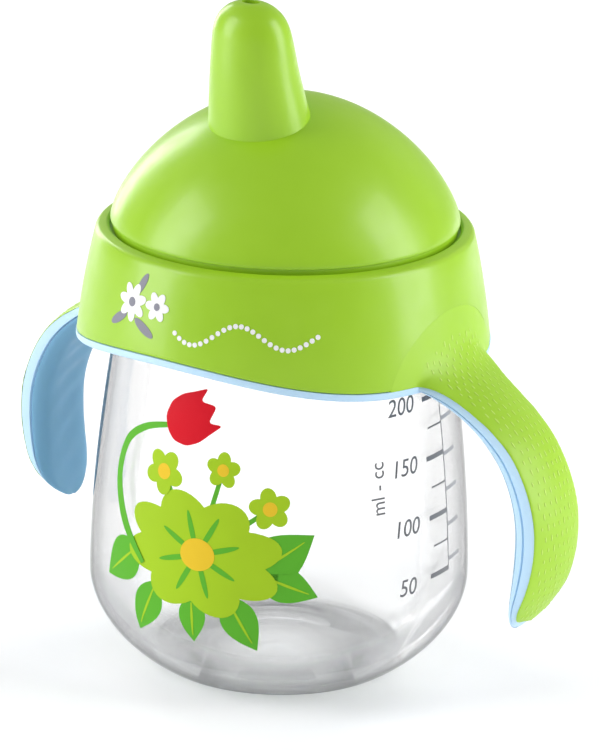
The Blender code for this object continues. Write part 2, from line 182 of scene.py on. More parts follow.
# Prints: ink films in layers, then the volume scale and the collar's trim.
SORT_AXIS = Vector((1.0, 0.6180, 0.3819))
INK_FILM = 0.05
INK_LIFT = 0.02
LAYER_STEP = 0.035
PICTURE_TURN = 8.0
PICTURE_Z = 32.0
SCALE_TURN = 97.6
SCALE_FIRST_Z = 24.7
SCALE_PITCH = 11.8
SCALE_END = 0.45
SCALE_LINE_TOP = 38.4
SCALE_LINE_HALF = 0.14
TICK_HEAVY = (0.48, -6.4)
TICK_LIGHT = (0.17, -5.2)
# Pale grey ticks beside the scale: a painted reflection of the scale's ticks on the inner wall.
REFLECTED_TICKS_Z = 26.4
REFLECTED_TICKS_PITCH = 7.1
NUMBER_TURN = 77.6
NUMBER_Z = 24.1
NUMBER_PITCH = 11.95
UNIT_TURN = 67.4
UNIT_Z = 45.2
TRIM_TURN = -7.0
TRIM_Z = 79.4
TRIM_DOTS = 26

# Camera: degrees, metres and the lens in millimetres.
CAMERA_AZIMUTH = 35.99
CAMERA_SWING = 0.246
CAMERA_PITCH = 18.78
CAMERA_ROLL = 1.16
CAMERA_REACH = 0.80
CAMERA_HEIGHT = 0.3295
CAMERA_LENS = 206.95

# Softboxes: distance in metres, then elevations in degrees, sizes in metres and powers in watts.
LIGHT_DISTANCE = 0.8
FRONT_BOX = (20.0, (0.40, 0.8), 5.0)
REAR_BOX = (12.0, (0.2, 0.6), 2.0)


# ---------------------------------------------------------------- mesh helpers

def new_object(name, bm):
    """Turn a bmesh in millimetres into an object in metres, with its faces turned outwards."""
    bmesh.ops.scale(bm, vec=(MM, MM, MM), verts=bm.verts)
    bmesh.ops.recalc_face_normals(bm, faces=bm.faces)
    mesh = bpy.data.meshes.new(name)
    bm.to_mesh(mesh)
    bm.free()
    obj = bpy.data.objects.new(name, mesh)
    bpy.context.scene.collection.objects.link(obj)
    return obj


def bridge(bm, loops, closed=False):
    """Join successive vertex loops with quads; an open chain gets end caps."""
    pairs = list(zip(loops, loops[1:]))
    if closed:
        pairs.append((loops[-1], loops[0]))
    for first, second in pairs:
        count = len(first)
        for i in range(count):
            j = (i + 1) % count
            bm.faces.new((first[i], first[j], second[j], second[i]))
    if not closed:
        bm.faces.new(loops[0])
        bm.faces.new(loops[-1])


def fillet(corners, segments=4):
    """Closed outline with each (x, y, radius) corner turned into an arc of short steps."""
    points = []
    count = len(corners)
    for i in range(count):
        x, y, radius = corners[i]
        here = Vector((x, y))
        back = Vector(corners[i - 1][:2]) - here
        ahead = Vector(corners[(i + 1) % count][:2]) - here
        reach = min(radius, 0.48 * back.length, 0.48 * ahead.length)
        if reach < 1e-3:
            points.append((x, y))
            continue
        start = here + back.normalized() * reach
        end = here + ahead.normalized() * reach
        for step in range(segments + 1):
            k = step / segments
            spot = start * (1 - k) ** 2 + here * 2 * k * (1 - k) + end * k * k
            points.append((spot.x, spot.y))
    return points


def lathe(name, profile, steps=192):
    """Revolve an outline about Z; points on the axis become single vertices."""
    bm = bmesh.new()
    rings = []
    for r, z in profile:
        if r < 1e-6:
            rings.append([bm.verts.new((0.0, 0.0, z))])
        else:
            turns = [math.tau * i / steps for i in range(steps)]
            rings.append([bm.verts.new((r * math.cos(a), r * math.sin(a), z)) for a in turns])
    closed = len(rings[0]) > 1
    pairs = list(zip(rings, rings[1:])) + ([(rings[-1], rings[0])] if closed else [])
    for upper, lower in pairs:
        for i in range(steps):
            j = (i + 1) % steps
            above = [upper[i % len(upper)], upper[j % len(upper)]]
            below = [lower[j % len(lower)], lower[i % len(lower)]]
            bm.faces.new(list(dict.fromkeys(above + below)))
    return new_object(name, bm)


def ring(name, section, steps=224):
    """Sweep a closed outline that depends on the angle once around Z."""
    bm = bmesh.new()
    loops = []
    for step in range(steps):
        angle = math.tau * step / steps
        loop = [(r * math.cos(angle), r * math.sin(angle), z) for r, z in section(angle)]
        loops.append([bm.verts.new(point) for point in loop])
    bridge(bm, loops, closed=True)
    return new_object(name, bm)


def clamp(value):
    """Value held between 0 and 1."""
    return max(0.0, min(1.0, value))


def catmull(values, t):
    """Smooth value through equally spaced samples, t from 0 to 1."""
    last = len(values) - 1
    place = t * last
    i = min(int(place), last - 1)
    u = place - i
    a = values[max(i - 1, 0)]
    b = values[i]
    c = values[i + 1]
    d = values[min(i + 2, last)]
    return b + 0.5 * u * (c - a + u * (2.0 * a - 5.0 * b + 4.0 * c - d + u * (3.0 * (b - c) + d - a)))


def loft(name, stations, sides=96, between=1):
    """Solid through stacked ellipses, with extra smooth stations between the given ones."""
    bm = bmesh.new()
    loops = []
    rows = (len(stations) - 1) * between
    for row in range(rows + 1):
        z, centre, half_x, half_y = (catmull([s[k] for s in stations], row / rows) for k in range(4))
        turns = [math.tau * i / sides for i in range(sides)]
        loops.append([bm.verts.new((half_x * math.cos(a), centre + half_y * math.sin(a), z)) for a in turns])
    bridge(bm, loops)
    return new_object(name, bm)


def bake(obj):
    """Apply an object's modifiers."""
    graph = bpy.context.evaluated_depsgraph_get()
    mesh = bpy.data.meshes.new_from_object(obj.evaluated_get(graph))
    obj.modifiers.clear()
    old = obj.data
    obj.data = mesh
    bpy.data.meshes.remove(old)


def combine(obj, operation, tool):
    """Apply one exact Boolean and drop its tool."""
    mod = obj.modifiers.new("combine", "BOOLEAN")
    mod.operation = operation
    mod.solver = "EXACT"
    mod.object = tool
    bake(obj)
    bpy.data.objects.remove(tool)


def shade(obj, angle=32.0):
    """Smooth shading that keeps edges sharper than the angle."""
    obj.data.shade_smooth()
    obj.data.set_sharp_from_angle(angle=math.radians(angle))


def finish_piece(obj, mat, body):
    """Material and body of a finished piece."""
    obj.data.materials.clear()
    obj.data.materials.append(mat)
    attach(obj, body)


# ---------------------------------------------------------------- shared shapes

def body_outer(z):
    """Outer radius of the clear cup below its shoulder."""
    if z < HEEL_H:
        k = 1.0 - max(z, 0.0) / HEEL_H
        rim = 1.0 - (BASE_R / BODY_R) ** HEEL_POWER
        return BODY_R * (1.0 - rim * k ** HEEL_POWER) ** (1.0 / HEEL_POWER)
    return BODY_R - BODY_TAPER * ((z - HEEL_H) / TAPER_SPAN) ** TAPER_POWER


def punt_height(r):
    """Height of the pushed-up centre of the cup's underside."""
    return 0.5 * PUNT * (1.0 + math.cos(math.pi * min(r / FOOT_INNER_R, 1.0)))


def collar_outer(z):
    """Outer radius of the collar wall."""
    depth = COLLAR_TOP - z
    return COLLAR_R + COLLAR_FLARE * depth - COLLAR_CURVE * depth * depth


def edge_height(angle):
    """Height of the green lower edge: high at the front and back, low under the handles."""
    side = min(1.0, math.cos(angle) ** 2 / 0.85)
    return EDGE_FRONT - EDGE_DROP * (1.0 - (1.0 - side) ** 1.5)


def dome_profile(radius, base, height, count):
    """Points from the crown down to the edge of a dome."""
    points = [(0.0, base + height)]
    for i in range(1, count):
        turn = 0.5 * math.pi * i / count
        points.append((radius * math.sin(turn), base + height * math.cos(turn) ** DOME_POWER))
    points.append((radius, base))
    return points


def helix_lugs(name, root_r, tip_r, start_z, span, phase):
    """Three right-handed thread lugs with a trapezoid section."""
    bm = bmesh.new()
    steps = 40
    for start in range(STARTS):
        loops = []
        for step in range(steps + 1):
            turn = span * step / steps
            angle = math.radians(phase + start * 360.0 / STARTS + turn)
            z = start_z + LEAD * turn / 360.0
            corners = (
                (root_r, z - LUG_HALF - 0.15),
                (tip_r, z - LUG_HALF + 0.15),
                (tip_r, z + LUG_HALF - 0.15),
                (root_r, z + LUG_HALF + 0.15),
            )
            loops.append([bm.verts.new((r * math.cos(angle), r * math.sin(angle), h)) for r, h in corners])
        bridge(bm, loops)
    return new_object(name, bm)


# ---------------------------------------------------------------- materials

def shader_nodes(name):
    """Fresh node material with its Principled shader."""
    mat = bpy.data.materials.new(name)
    mat.use_nodes = True
    tree = mat.node_tree
    return mat, tree, tree.nodes["Principled BSDF"]


def noise(tree, scale, detail=3.0, roughness=0.5):
    """Noise in the piece's own metres."""
    coords = tree.nodes.new("ShaderNodeTexCoord")
    node = tree.nodes.new("ShaderNodeTexNoise")
    node.inputs["Scale"].default_value = scale
    node.inputs["Detail"].default_value = detail
    node.inputs["Roughness"].default_value = roughness
    tree.links.new(coords.outputs["Object"], node.inputs["Vector"])
    return node


def spread(tree, source, low, high):
    """Map a 0-1 value to a range."""
    node = tree.nodes.new("ShaderNodeMapRange")
    node.inputs["From Min"].default_value = 0.3
    node.inputs["From Max"].default_value = 0.7
    node.inputs["To Min"].default_value = low
    node.inputs["To Max"].default_value = high
    tree.links.new(source, node.inputs["Value"])
    return node.outputs["Result"]


def plastic(name, colour, dark, roughness, bump_scale, bump_height, coat=0.0, subsurface=0.0):
    """Moulded plastic: slow colour drift, uneven gloss and a fine surface grain."""
    mat, tree, shader = shader_nodes(name)
    drift = noise(tree, 60.0, 4.0)
    mix = tree.nodes.new("ShaderNodeMix")
    mix.data_type = "RGBA"
    mix.inputs["A"].default_value = (*dark, 1.0)
    mix.inputs["B"].default_value = (*colour, 1.0)
    tree.links.new(spread(tree, drift.outputs["Fac"], 0.0, 1.0), mix.inputs["Factor"])
    tree.links.new(mix.outputs["Result"], shader.inputs["Base Color"])
    gloss = noise(tree, 240.0, 3.0)
    uneven = spread(tree, gloss.outputs["Fac"], roughness * 0.85, roughness * 1.15)
    tree.links.new(uneven, shader.inputs["Roughness"])
    grain = noise(tree, bump_scale, 2.0, 0.6)
    bump = tree.nodes.new("ShaderNodeBump")
    bump.inputs["Strength"].default_value = 1.0
    bump.inputs["Distance"].default_value = bump_height * MM
    tree.links.new(grain.outputs["Fac"], bump.inputs["Height"])
    tree.links.new(bump.outputs["Normal"], shader.inputs["Normal"])
    shader.inputs["IOR"].default_value = 1.5
    shader.inputs["Coat Weight"].default_value = coat
    shader.inputs["Coat Roughness"].default_value = 0.12
    shader.inputs["Subsurface Weight"].default_value = subsurface
    shader.inputs["Subsurface Radius"].default_value = (1.0, 1.0, 0.4)
    shader.inputs["Subsurface Scale"].default_value = 0.0015
    return mat


def clear_plastic():
    """Clear moulded wall: refraction, with painted shade that greys the rims where the wall is seen edge-on.

    The refractive index is lower than the real plastic's, because that gives a darker rim.
    """
    mat, tree, shader = shader_nodes("clear_plastic_wall")
    shader.inputs["Transmission Weight"].default_value = 1.0
    shader.inputs["IOR"].default_value = 1.25
    haze = noise(tree, 90.0, 3.0)
    tree.links.new(spread(tree, haze.outputs["Fac"], 0.0, 0.035), shader.inputs["Roughness"])
    waves = noise(tree, 45.0, 1.0)
    bump = tree.nodes.new("ShaderNodeBump")
    bump.inputs["Strength"].default_value = 0.3
    bump.inputs["Distance"].default_value = 0.05 * MM
    tree.links.new(waves.outputs["Fac"], bump.inputs["Height"])
    tree.links.new(bump.outputs["Normal"], shader.inputs["Normal"])
    # Painted shade: the base colour turns grey, then near black, where the wall is seen edge-on.
    weight = tree.nodes.new("ShaderNodeLayerWeight")
    weight.inputs["Blend"].default_value = 0.5
    painted_rim_shade = tree.nodes.new("ShaderNodeValToRGB")
    stops = painted_rim_shade.color_ramp.elements
    stops[0].position = 0.32
    stops[0].color = (0.985, 0.988, 0.99, 1.0)
    stops[1].position = 0.84
    stops[1].color = (0.02, 0.02, 0.022, 1.0)
    middle = stops.new(0.60)
    middle.color = (0.72, 0.72, 0.73, 1.0)
    rim = stops.new(0.74)
    rim.color = (0.26, 0.26, 0.27, 1.0)
    tree.links.new(weight.outputs["Facing"], painted_rim_shade.inputs["Fac"])
    tree.links.new(painted_rim_shade.outputs["Color"], shader.inputs["Base Color"])
    cover = tree.nodes.new("ShaderNodeMapRange")
    cover.inputs["From Min"].default_value = 0.35
    cover.inputs["From Max"].default_value = 0.85
    cover.inputs["To Min"].default_value = 0.14
    cover.inputs["To Max"].default_value = 1.0
    tree.links.new(weight.outputs["Facing"], cover.inputs["Value"])
    tree.links.new(cover.outputs["Result"], shader.inputs["Alpha"])
    return mat


def silicone(name, colour):
    """Milky soft silicone."""
    mat = plastic(name, colour, tuple(c * 0.93 for c in colour), 0.45, 900.0, 0.01, subsurface=0.4)
    mat.node_tree.nodes["Principled BSDF"].inputs["Transmission Weight"].default_value = 0.15
    return mat


def ink(name, colour):
    """Printed ink, also used for the painted reflection of the scale's ticks: an even film with slight
    mottling.
    """
    mat = plastic(name, colour, tuple(c * 0.93 for c in colour), 0.5, 900.0, 0.002)
    mat.node_tree.nodes["Principled BSDF"].inputs["Specular IOR Level"].default_value = 0.12
    return mat


GREEN = plastic(
    "green_plastic_satin", (0.335, 0.600, 0.016), (0.315, 0.575, 0.013), 0.34, 900.0, 0.003, 0.12, 0.04
)
GRIP = plastic("green_grip_soft", (0.36, 0.63, 0.024), (0.335, 0.60, 0.020), 0.44, 900.0, 0.006, 0.0, 0.04)
BLUE = plastic("blue_plastic_satin", (0.52, 0.75, 0.95), (0.49, 0.72, 0.93), 0.42, 900.0, 0.005, 0.0, 0.06)
CLEAR = clear_plastic()
SEAL = silicone("seal_silicone_milky", (0.80, 0.84, 0.86))
VALVE = plastic("valve_plastic_white", (0.84, 0.86, 0.87), (0.80, 0.82, 0.84), 0.35, 1200.0, 0.006)
MEMBRANE = silicone("valve_silicone_milky", (0.70, 0.80, 0.88))
DASH = plastic("green_grip_dash", (0.52, 0.76, 0.13), (0.48, 0.72, 0.11), 0.4, 1100.0, 0.006, 0.0, 0.05)
# Painted shade: a darker blue laid on the handles' inner halves where shade falls, reaching further round on
# the left handle.
BLUE_PAINTED_SHADE = plastic(
    "blue_plastic_painted_shade", (0.165, 0.385, 0.585), (0.15, 0.365, 0.565), 0.5, 1000.0, 0.012, 0.0, 0.05
)
INK_LIME = ink("ink_lime", (0.38, 0.60, 0.02))
INK_GREEN = ink("ink_green", (0.11, 0.44, 0.03))
INK_RED = ink("ink_red", (0.66, 0.006, 0.018))
INK_WHITE = ink("ink_white", (0.92, 0.92, 0.92))
INK_GREY = ink("ink_grey", (0.22, 0.22, 0.23))
PAINTED_TICK_REFLECTION = ink("painted_reflection_pale_grey", (0.36, 0.36, 0.37))
INK_SUN = ink("ink_sun", (0.82, 0.55, 0.03))
INK_SLATE = ink("ink_slate", (0.27, 0.27, 0.32))


# ---------------------------------------------------------------- cup

def build_cup():
    """Clear cup with a rounded heel, a pushed-up floor and a threaded neck."""
    outline = [(r, punt_height(r) + FLOOR) for r in (FOOT_INNER_R * i / 12 for i in range(13))]
    for i in range(1, 15):
        z = FLOOR + 0.5 + (HEEL_H - FLOOR - 0.5) * (i / 14) ** 1.5
        outline.append((body_outer((z - FLOOR) * HEEL_H / (HEEL_H - FLOOR)) - WALL, z))
    for i in range(1, 17):
        z = HEEL_H + (SHOULDER_Z - 1.0 - HEEL_H) * i / 16
        outline.append((body_outer(z) - WALL, z))
    inner_neck = NECK_R - WALL
    outline += [(inner_neck + 0.5, 69.6), (inner_neck, 70.6), (inner_neck, 77.0)]
    outline += [(inner_neck, RIM_Z - 0.5), (inner_neck + 0.15, RIM_Z - 0.15), (inner_neck + 0.5, RIM_Z)]
    outline += [(NECK_R - 0.5, RIM_Z), (NECK_R - 0.15, RIM_Z - 0.15), (NECK_R, RIM_Z - 0.5)]
    outline += [(NECK_R, 77.0), (NECK_R, 70.6), (NECK_R + 0.4, 69.6), (body_outer(SHOULDER_Z) - 0.2, 68.7)]
    for i in range(17):
        z = SHOULDER_Z + (HEEL_H - SHOULDER_Z) * i / 16
        outline.append((body_outer(z), z))
    for i in range(1, 16):
        z = HEEL_H * (1 - i / 16) ** 1.6
        outline.append((body_outer(z), z))
    outline += [(BASE_R - 0.1, 0.06), (BASE_R - 0.5, 0.0)]
    outline += [(r, punt_height(r)) for r in (FOOT_INNER_R * (12 - i) / 12 for i in range(13))]
    cup = lathe("cup_body_clear", outline, 180)
    lugs = helix_lugs("neck_lugs", NECK_R - 0.7, NECK_R + LUG_HEIGHT, NECK_LUG_Z, NECK_LUG_SPAN, LUG_PHASE)
    combine(cup, "UNION", lugs)
    shade(cup)
    finish_piece(cup, CLEAR, "cup")
    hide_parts("cup_body")


# ---------------------------------------------------------------- lid

def build_lid():
    """Domed lid with its leaning spout, flange and the two sockets underneath."""
    profile = dome_profile(DOME_R, DOME_Z, DOME_H, 40)
    profile += [(DOME_R - 0.06, DOME_Z - 0.35), (DOME_R - 0.2, DOME_Z - 0.47), (DOME_R - 0.45, DOME_Z - 0.5)]
    profile += [(DOME_R - 0.45, FLANGE_TOP), (FLANGE_R - 0.2, FLANGE_TOP), (FLANGE_R, FLANGE_TOP - 0.2)]
    profile += [(FLANGE_R, FLANGE_LOW + 0.2), (FLANGE_R - 0.2, FLANGE_LOW), (0.0, FLANGE_LOW)]
    lid = lathe("lid_dome_green", profile, 160)
    combine(lid, "UNION", loft("spout_solid", SPOUT, 80, 4))

    hollow = dome_profile(DOME_R - DOME_T, DOME_Z - 0.3, DOME_H - DOME_T + 0.3, 24)
    hollow += [(DOME_R - DOME_T - 0.4, FLANGE_TOP + 1.0), (29.4, FLANGE_TOP - 0.2)]
    hollow += [(29.4, FLANGE_LOW - 4.0), (0.0, FLANGE_LOW - 4.0)]
    cavity = lathe("lid_cavity", hollow, 96)
    for centre, radius in ((SOCKET_Y, SOCKET_R), (VENT_Y, VENT_R)):
        wall = ((SOCKET_LOW, centre, radius, radius), (122.0, centre, radius, radius))
        combine(cavity, "DIFFERENCE", loft("socket_wall", wall, 64))
    combine(lid, "DIFFERENCE", cavity)
    combine(lid, "DIFFERENCE", loft("spout_channel", CHANNEL, 64))
    combine(lid, "DIFFERENCE", loft("vent_channel", VENT, 32))
    shade(lid, 28.0)
    finish_piece(lid, GREEN, "lid")
    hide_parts("lid_dome")


# ---------------------------------------------------------------- collar

def shell_section(angle):
    """Green collar wall with the inward lip that clamps the lid."""
    edge = edge_height(angle)
    top = COLLAR_TOP - 0.9
    corners = [(34.05, 88.4, 0.15), (34.6, 88.75, 0.12), (36.15, 88.28, 0.28)]
    corners += [(36.6, 87.8, 0.3)]
    for i in range(9):
        z = top + (edge + 0.6 - top) * i / 8
        corners.append((collar_outer(z), z, 0.0))
    corners.append((collar_outer(edge), edge, 0.35))
    corners.append((collar_outer(edge) - SHELL_T, edge, 0.1))
    for i in range(1, 5):
        z = edge + (86.5 - edge) * i / 5
        corners.append((collar_outer(z) - SHELL_T, z, 0.0))
    corners += [(35.4, 86.8, 0.0), (35.4, FLANGE_TOP + 0.3, 0.1), (34.05, FLANGE_TOP + 0.3, 0.1)]
    return fillet(corners, 3)


def liner_section(angle):
    """Blue liner: threaded inner ring, outer skirt and the visible band under the shell."""
    edge = edge_height(angle)
    band_top = edge - 0.12
    low = edge - BAND_H
    lip = collar_outer(low)
    corners = []
    for i in range(5):
        z = LINER_TOP + (band_top - LINER_TOP) * i / 4
        corners.append((collar_outer(z) - SHELL_T - 0.3, z, 0.0))
    corners += [(lip - 0.02, band_top, 0.15), (lip - 0.05, low, 0.8), (lip - SKIRT_T, low, 0.5)]
    corners += [(collar_outer(74.4) - SKIRT_T - 0.3, 74.4, 0.3), (35.2, 74.4, 0.4)]
    corners += [(LINER_R, 73.6, 0.3), (LINER_R, LINER_TOP, 0.4)]
    return fillet(corners, 3)


def handle_station(t):
    """Crown, parting line, inner face and half-width of a handle at t from 0 (root) to 1 (tip)."""
    columns = []
    for item in range(3):
        for axis in range(2):
            columns.append(catmull([row[item][axis] for row in HANDLE], t))
    half = catmull([row[3] for row in HANDLE], t)
    if t > TIP_START:
        half *= math.sqrt(1.0 - 0.97 * ((t - TIP_START) / (1.0 - TIP_START)) ** 2)
    return columns[0:2], columns[2:4], columns[4:6], half


def handle_y(t, side):
    """Centre line of a handle in Y: the left one swings a little backwards below its root."""
    if side > 0.0:
        return HANDLE_Y
    k = min(t / LEFT_SHIFT_END, 1.0)
    return HANDLE_Y + LEFT_SHIFT * k * k * (3.0 - 2.0 * k)


def towards(start, end, distance):
    """Point a fixed distance from start in the direction of end."""
    length = math.hypot(end[0] - start[0], end[1] - start[1])
    k = distance / length
    return start[0] + (end[0] - start[0]) * k, start[1] + (end[1] - start[1]) * k


def grip_loop(t, side):
    """Section of the green outer half: flat at the parting line, crowned outside."""
    crown, parting, _, half = handle_station(t)
    base = towards(parting, crown, GRIP_INSET)
    loop = []
    count = 22
    for i in range(count + 1):
        across = math.cos(math.pi * i / count)
        lift = GRIP_EDGE_LIFT + GRIP_CROWN_LIFT * (1.0 - across * across)
        x = base[0] + (crown[0] - base[0]) * lift
        z = base[1] + (crown[1] - base[1]) * lift
        loop.append((side * x, handle_y(t, side) + GRIP_WIDTH * half * across, z))
    loop.append((side * base[0], handle_y(t, side) - GRIP_BASE_WIDTH * half, base[1]))
    loop.append((side * base[0], handle_y(t, side) + GRIP_BASE_WIDTH * half, base[1]))
    return loop


def inner_loop(t, side):
    """Section of the blue inner half: side wall, fine crease, long slope and a hollow ribbed inner face."""
    _, parting, inner, half = handle_station(t)
    base = towards(parting, inner, INNER_INSET)
    points = []
    for sign, order in ((1.0, INNER_ROWS), (-1.0, INNER_ROWS[-2::-1])):
        for depth, width in order:
            across = sign * width
            face = clamp((depth - FACE_START) / FACE_FADE)
            hollow = HOLLOW_DEPTH * max(0.0, 1.0 - (width / HOLLOW_WIDTH) ** 2)
            middle = max(0.0, 1.0 - (width / RIB_WIDTH) ** 2)
            ribs = RIB_HEIGHT * face * middle * math.sin(math.tau * (RIB_COUNT * t + RIB_SLANT * across))
            shape = depth - hollow + ribs
            x = base[0] + (inner[0] - base[0]) * shape
            z = base[1] + (inner[1] - base[1]) * shape
            points.append((side * x, handle_y(t, side) + half * across, z))
    return points


def sweep(name, section, side, root_depth=0.0, painted_shade_rows=()):
    """Loft a handle half from its root to its tip, with its root run straight inwards if asked.

    Faces whose place in the section is in the given rows get the second material, a darker blue painted as
    shade.
    """
    bm = bmesh.new()
    loops = []
    if root_depth > 0.0:
        loops.append([bm.verts.new((x - side * root_depth, y, z)) for x, y, z in section(0.0, side)])
    for row in range(HANDLE_ROWS + 1):
        t = 1.0 - (1.0 - row / HANDLE_ROWS) ** 1.4
        loops.append([bm.verts.new(point) for point in section(t, side)])
    bridge(bm, loops)
    bm.faces.ensure_lookup_table()
    count = len(loops[0])
    for i, face in enumerate(bm.faces):
        if i % count in painted_shade_rows and i < count * (len(loops) - 1):
            face.material_index = 1
    return new_object(name, bm)


def window(side, clearance):
    """Elliptic prism along X that outlines the grip patch on the collar."""
    bm = bmesh.new()
    loops = []
    for x in (25.0, 49.0):
        loop = []
        for i in range(120):
            a = math.tau * i / 120
            y = HANDLE_Y + (WINDOW_HALF_Y + clearance) * math.cos(a)
            loop.append(bm.verts.new((side * x, y, WINDOW_Z + (WINDOW_HALF_Z + clearance) * math.sin(a))))
        loops.append(loop)
    bridge(bm, loops)
    return new_object("window", bm)


def soften_root(grip):
    """Even the grip's mesh, then melt the handle's root into the patch on the collar."""
    mod = grip.modifiers.new("even", "REMESH")
    mod.mode = "VOXEL"
    mod.voxel_size = 0.4 * MM
    bake(grip)
    group = grip.vertex_groups.new(name="root")
    low_z = 66.9
    high_z = 77.9
    half_y = 15.6
    for vert in grip.data.vertices:
        x, y, z = (c / MM for c in vert.co)
        out = math.hypot(x, y) - collar_outer(z)
        low = clamp((z - low_z) / 1.5)
        near = clamp(1.0 - (out - 6.0) / 5.0) * clamp((out + 0.9) / 0.6)
        inside = clamp((half_y - abs(y - HANDLE_Y)) / 2.0) * clamp((high_z - z) / 1.5)
        weight = low * near * inside
        if weight > 0.0:
            group.add([vert.index], weight, "REPLACE")
    melt = grip.modifiers.new("melt", "SMOOTH")
    melt.vertex_group = "root"
    melt.factor = 0.5
    melt.iterations = 70
    bake(grip)
    even = grip.modifiers.new("fair", "SMOOTH")
    even.factor = 0.5
    even.iterations = 6
    bake(grip)
    grip.vertex_groups.clear()


def patch_section(angle):
    """Collar wall run a little past its lower edge."""
    edge = edge_height(angle)
    heights = [84.0 + (edge - 1.2 - 84.0) * i / 12 for i in range(13)]
    outside = [(collar_outer(z), z) for z in heights]
    inside = [(collar_outer(z) - SHELL_T, z) for z in heights[::-1]]
    return outside + inside


def wide_loop(t, side):
    """Roomy section around a whole handle beyond the collar wall."""
    crown, parting, inner, half = handle_station(t)
    high = towards(parting, crown, math.hypot(crown[0] - parting[0], crown[1] - parting[1]) + SPARE)
    low = towards(parting, inner, SPARE)
    shift = 1.2
    wide = half + SPARE
    corners = ((high, wide), (low, wide), (low, -wide), (high, -wide))
    return [(side * (x + shift), handle_y(t, side) + y, z) for (x, z), y in corners]


def under_loop(t, side):
    """Section of the space below a handle's parting line."""
    crown, parting, inner, half = handle_station(t)
    base = towards(parting, crown, GRIP_INSET)
    deep = towards(base, inner, SPARE)
    wide = half + SPARE
    corners = ((base, wide), (deep, wide), (deep, -wide), (base, -wide))
    return [(side * x, handle_y(t, side) + y, z) for (x, z), y in corners]


def thick_loop(t, side):
    """Grip section with spare material below the parting line, cut away later."""
    _, parting, inner, _ = handle_station(t)
    base = towards(parting, inner, 1.2)
    loop = grip_loop(t, side)
    loop[-2] = (side * base[0], loop[-2][1], base[1])
    loop[-1] = (side * base[0], loop[-1][1], base[1])
    return loop


def dashes(grip, side, label):
    """Rows of fine raised dashes on the grip's crown, laid on its finished surface."""
    mesh = grip.data
    tree = BVHTree.FromPolygons([v.co for v in mesh.vertices], [p.vertices for p in mesh.polygons])
    bm = bmesh.new()
    rows = 36
    half_wide = 0.2
    for row in range(rows):
        t = 0.02 + 0.92 * row / (rows - 1)
        crown, parting, _, half = handle_station(t)
        ahead = handle_station(t + 0.01)[0]
        path = Vector((side * (ahead[0] - crown[0]), 0.0, ahead[1] - crown[1])).normalized()
        for column in range(-4, 5):
            across = (column + (0.5 if row % 2 else 0.0)) / 4.9
            if abs(across) > 0.80:
                continue
            lift = 1.0 - across * across
            x = parting[0] + (crown[0] - parting[0]) * lift
            z = parting[1] + (crown[1] - parting[1]) * lift
            spot = Vector((side * x, handle_y(t, side) + half * across, z)) * MM
            hit, normal, _, _ = tree.find_nearest(spot)
            along = (path - normal * path.dot(normal)).normalized()
            wide = normal.cross(along)
            reach = 0.55 + 0.2 * math.sin(5.1 * row + 2.3 * column)
            corners = []
            for height, scale in ((-0.1, 1.0), (0.05, 1.0), (0.09, 0.7)):
                loop = []
                for i in range(8):
                    a = math.tau * i / 8
                    offset = along * (reach * scale * math.cos(a)) + wide * (half_wide * scale * math.sin(a))
                    loop.append(bm.verts.new(hit / MM + offset + normal * height))
                corners.append(loop)
            bridge(bm, corners)
    piece = new_object(f"{label}_grip_dashes", bm)
    shade(piece, 60.0)
    finish_piece(piece, DASH, "collar")


def edge_cutter(angle):
    """Section of the space under the collar's green edge, close to the wall."""
    edge = edge_height(angle)
    return [(30.0, edge), (38.4, edge), (38.4, edge - 8.0), (30.0, edge - 8.0)]


def build_collar():
    """Shell, liner and the two soft grips."""
    shell = ring("collar_shell_green", shell_section)
    liner = ring("collar_liner_blue", liner_section)
    turned = 0.5 * (NECK_LUG_SPAN - COLLAR_LUG_SPAN)
    start_z = NECK_LUG_Z + LEAD * turned / 360.0 + 0.5 * LEAD / STARTS
    phase = LUG_PHASE + turned
    lugs = helix_lugs("collar_lugs", LINER_R + 0.6, LINER_R - LUG_HEIGHT, start_z, COLLAR_LUG_SPAN, phase)
    combine(liner, "UNION", lugs)
    # The liner's second material is the painted shade on the handles' inner halves.
    for mat in (BLUE, BLUE_PAINTED_SHADE):
        liner.data.materials.append(mat)
    core_profile = [(0.0, 82.0)]
    core_profile += [(collar_outer(82.0 - i) - SHELL_T, 82.0 - i) for i in range(0, 21, 2)]
    core_profile.append((0.0, 62.0))
    for side, label in ((1.0, "right"), (-1.0, "left")):
        combine(shell, "DIFFERENCE", window(side, SEAM))
        patch = ring(f"{label}_patch", patch_section, 160)
        combine(patch, "INTERSECT", window(side, 1.5))
        grip = sweep(f"{label}_grip_soft", thick_loop, side, ROOT_DEPTH)
        combine(grip, "DIFFERENCE", lathe("core", core_profile, 160))
        combine(grip, "UNION", patch)
        soften_root(grip)
        outline = window(side, -SEAM)
        outline_rest = sweep("handle_space", wide_loop, side)
        combine(outline, "UNION", outline_rest)
        combine(grip, "INTERSECT", outline)
        combine(grip, "DIFFERENCE", ring("edge_space", edge_cutter, 160))
        combine(grip, "DIFFERENCE", sweep("under_space", under_loop, side))
        shade(grip, 40.0)
        finish_piece(grip, GRIP, "collar")
        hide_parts(f"{label}_grip")
        dashes(grip, side, label)
        # Faces of the inner half that carry the painted shade.
        painted_shade_rows = range(PAINTED_SHADE_START[side], SECTION_FACES - PAINTED_SHADE_START[side])
        inner = sweep(f"{label}_handle_inner", inner_loop, side, 0.0, painted_shade_rows)
        for mat in (BLUE, BLUE_PAINTED_SHADE):
            inner.data.materials.append(mat)
        combine(liner, "UNION", inner)
    shade(shell, 30.0)
    shade(liner, 30.0)
    finish_piece(shell, GREEN, "collar")
    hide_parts("collar_shell")
    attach(liner, "collar")
    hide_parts("collar_liner")


# ---------------------------------------------------------------- prints

